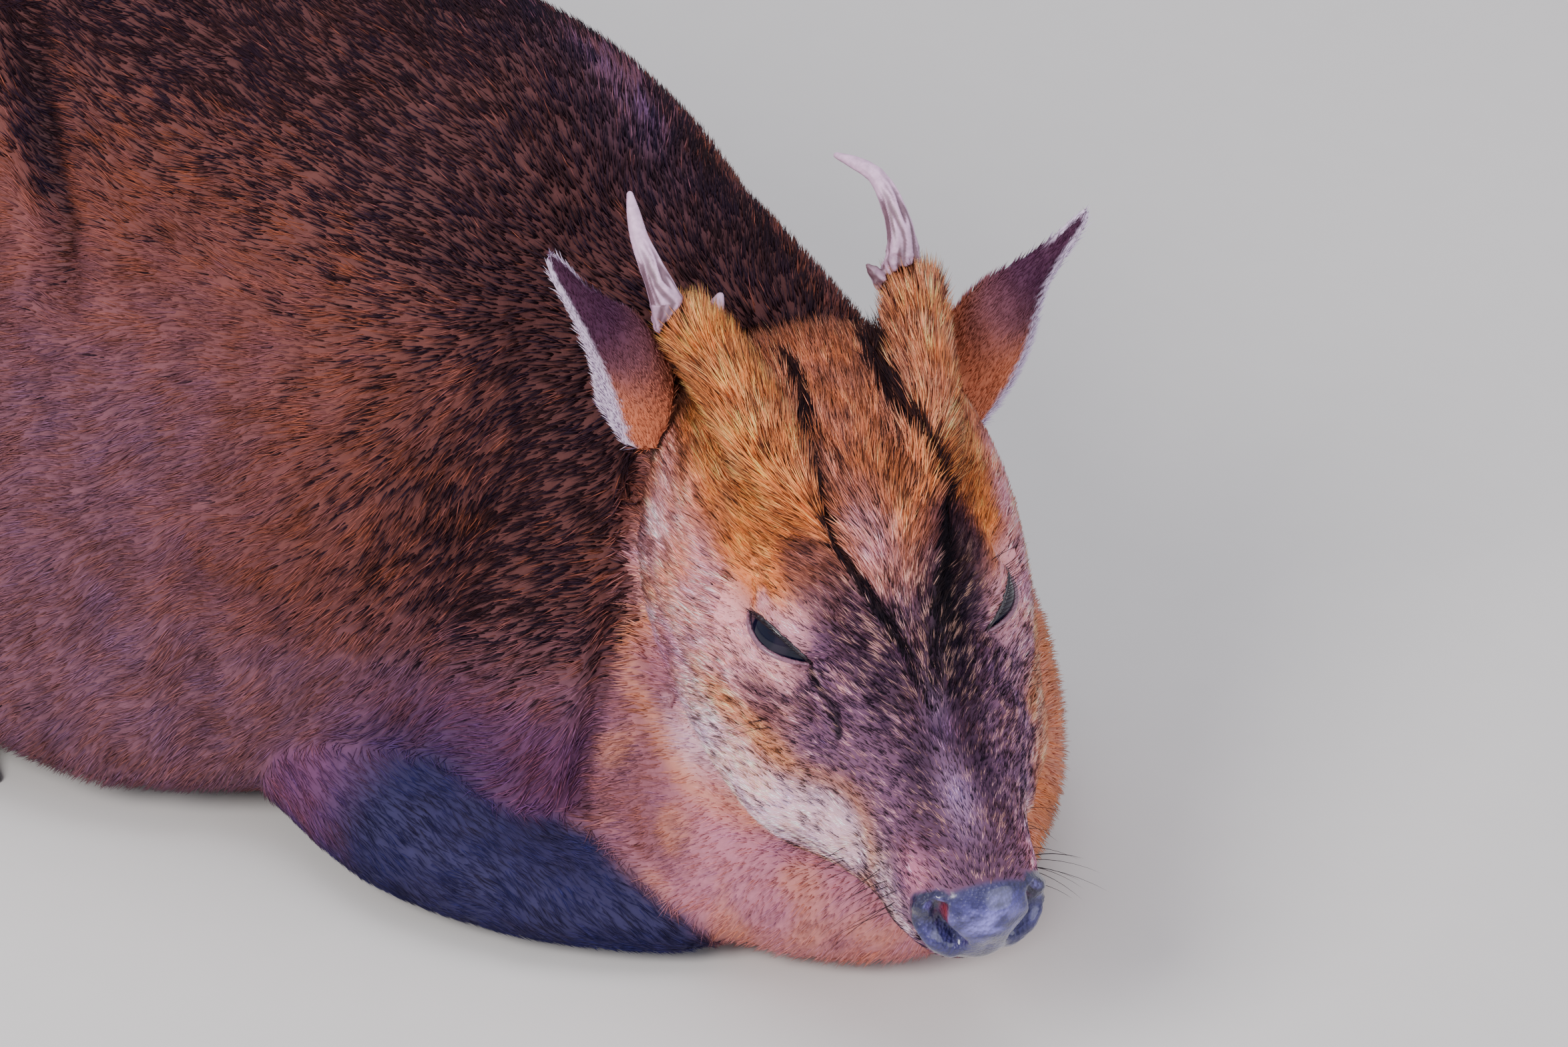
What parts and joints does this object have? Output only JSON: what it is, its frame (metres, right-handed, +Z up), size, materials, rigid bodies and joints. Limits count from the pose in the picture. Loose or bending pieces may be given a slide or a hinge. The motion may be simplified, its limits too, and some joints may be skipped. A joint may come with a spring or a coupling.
{
  "type": "muntjac model",
  "caption": "Life-size still model of an adult male Reeves's muntjac lying on its chest with its legs folded under it and its head lowered to the ground.",
  "frame": {"origin": "on the floor, under the middle of the whole animal's box", "axes": "+X towards the head along the body, +Y to the animal's left, +Z up"},
  "size_m": [0.6024, 0.317, 0.23],
  "materials": {
    "coat": "matte",
    "flank": "matte",
    "face": "matte",
    "ear_brown": "matte",
    "leg_dark": "matte",
    "antler_bone": "satin",
    "hoof_black": "satin",
    "eye_dark": "gloss"
  },
  "bodies": {
    "root": {"head": "face", "neck": "flank", "torso": "coat", "tail": "coat", "ear_left": "ear_brown", "ear_right": "ear_brown", "eye_left": "eye_dark", "eye_right": "eye_dark", "antler_left": "antler_bone", "antler_right": "antler_bone", "brow_tine_left": "antler_bone", "brow_tine_right": "antler_bone", "forearm_left": "leg_dark", "forearm_right": "leg_dark", "fore_cannon_left": "leg_dark", "fore_cannon_right": "leg_dark", "fore_hoof_left_inner": "hoof_black", "fore_hoof_left_outer": "hoof_black", "fore_hoof_right_inner": "hoof_black", "fore_hoof_right_outer": "hoof_black", "shank_left": "leg_dark", "shank_right": "leg_dark", "hind_cannon_left": "leg_dark", "hind_cannon_right": "leg_dark", "hind_hoof_left_inner": "hoof_black", "hind_hoof_left_outer": "hoof_black", "hind_hoof_right_inner": "hoof_black", "hind_hoof_right_outer": "hoof_black"}
  },
  "joints": []
}
